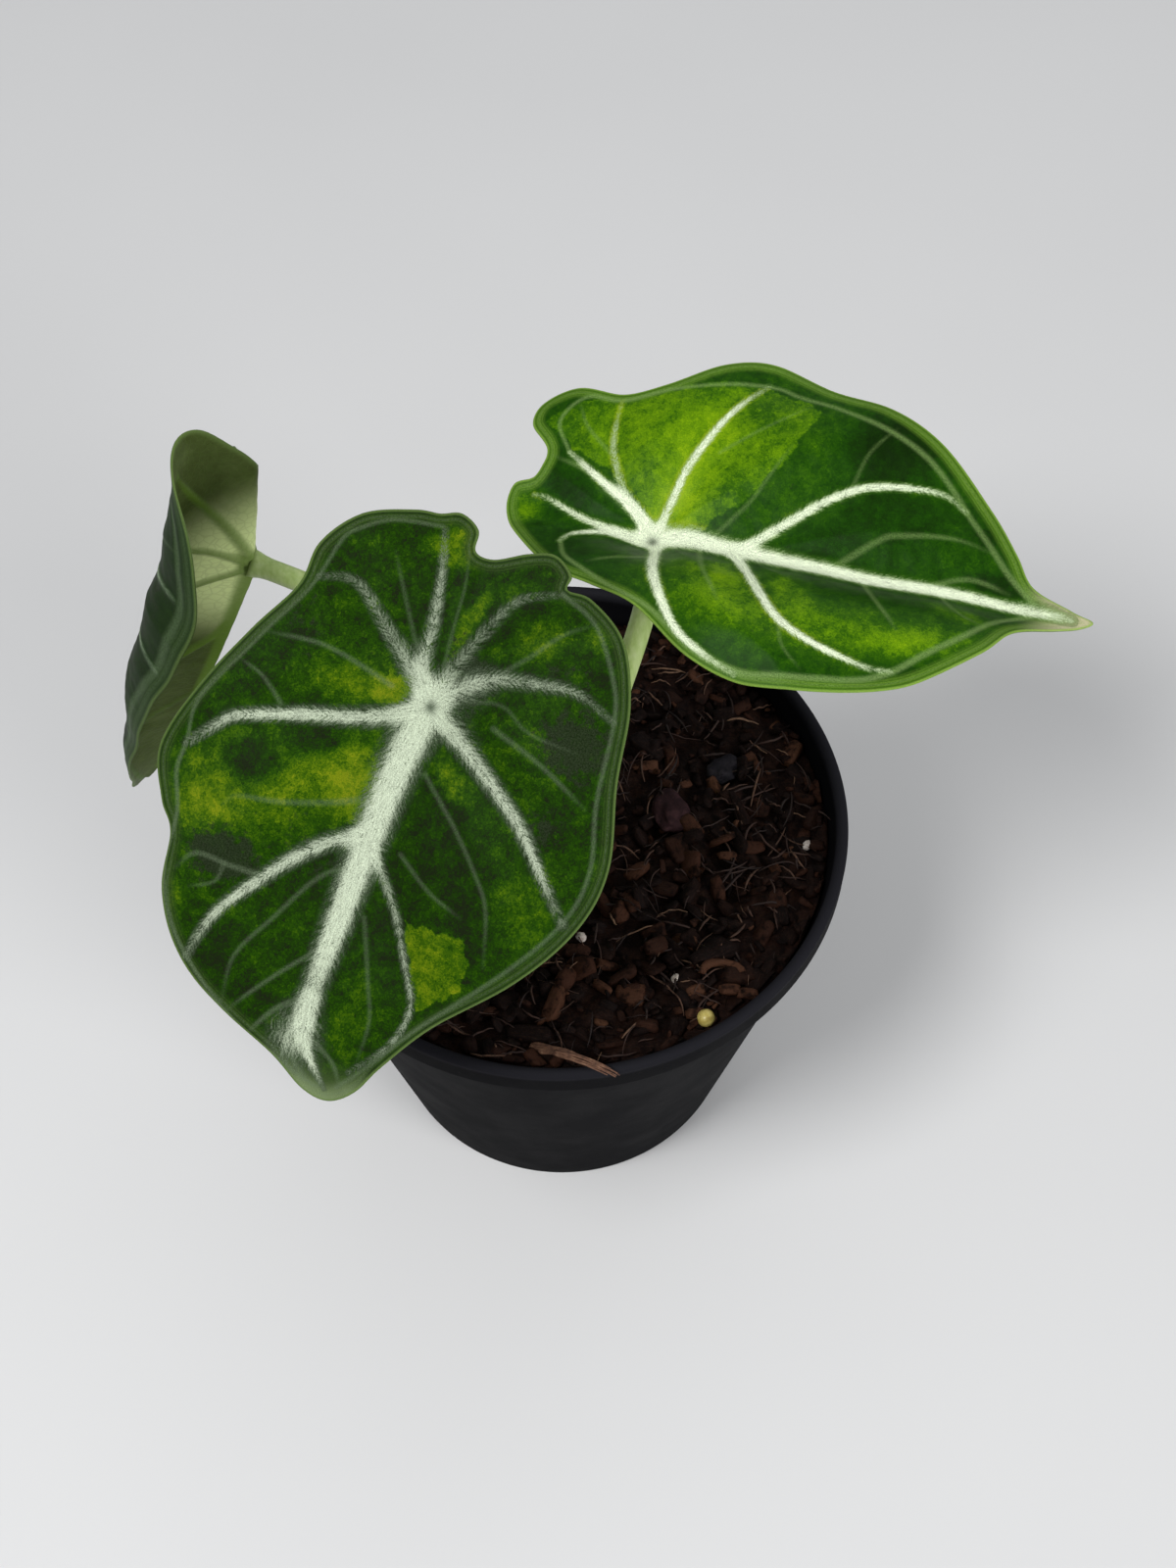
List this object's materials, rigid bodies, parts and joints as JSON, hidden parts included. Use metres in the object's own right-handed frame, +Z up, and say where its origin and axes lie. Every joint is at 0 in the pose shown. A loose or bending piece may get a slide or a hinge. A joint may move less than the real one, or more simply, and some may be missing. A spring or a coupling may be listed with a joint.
{
  "type": "potted variegated alocasia plant",
  "caption": "Potted variegated alocasia: shield-shaped mottled leaves on arching stalks from one crown, in bark and husk soil in a round black nursery pot.",
  "frame": {"origin": "middle of the pot's flat bottom, on the surface that it stands on", "axes": "+Z up along the pot's axis, -Y towards the viewer, with the large front leaf, and +X to the viewer's right, where the right leaf points"},
  "size_m": [0.1873, 0.1351, 0.1885],
  "materials": {
    "pot_plastic": "satin",
    "bark_soil": "matte",
    "corm_skin": "matte",
    "leaf_stalk": "satin",
    "variegated_leaf_front": "satin",
    "variegated_leaf_right": "satin",
    "variegated_leaf_left": "satin",
    "bark_mauve": "matte",
    "bark_dark": "matte",
    "dry_husk": "matte",
    "perlite": "matte",
    "feed_pellet": "satin"
  },
  "bodies": {
    "root": {"pot": "pot_plastic", "soil": "bark_soil", "corm_and_crown": "corm_skin", "stalk_front": "leaf_stalk", "stalk_right": "leaf_stalk", "stalk_left": "leaf_stalk", "leaf_front": "variegated_leaf_front", "leaf_right": "variegated_leaf_right", "leaf_left": "variegated_leaf_left", "bark_chip_mauve": "bark_mauve", "bark_chip_dark": "bark_dark", "husk_strip": "dry_husk", "perlite_front": "perlite", "perlite_middle": "perlite", "perlite_side": "perlite", "feed_pellet": "feed_pellet"}
  },
  "joints": []
}
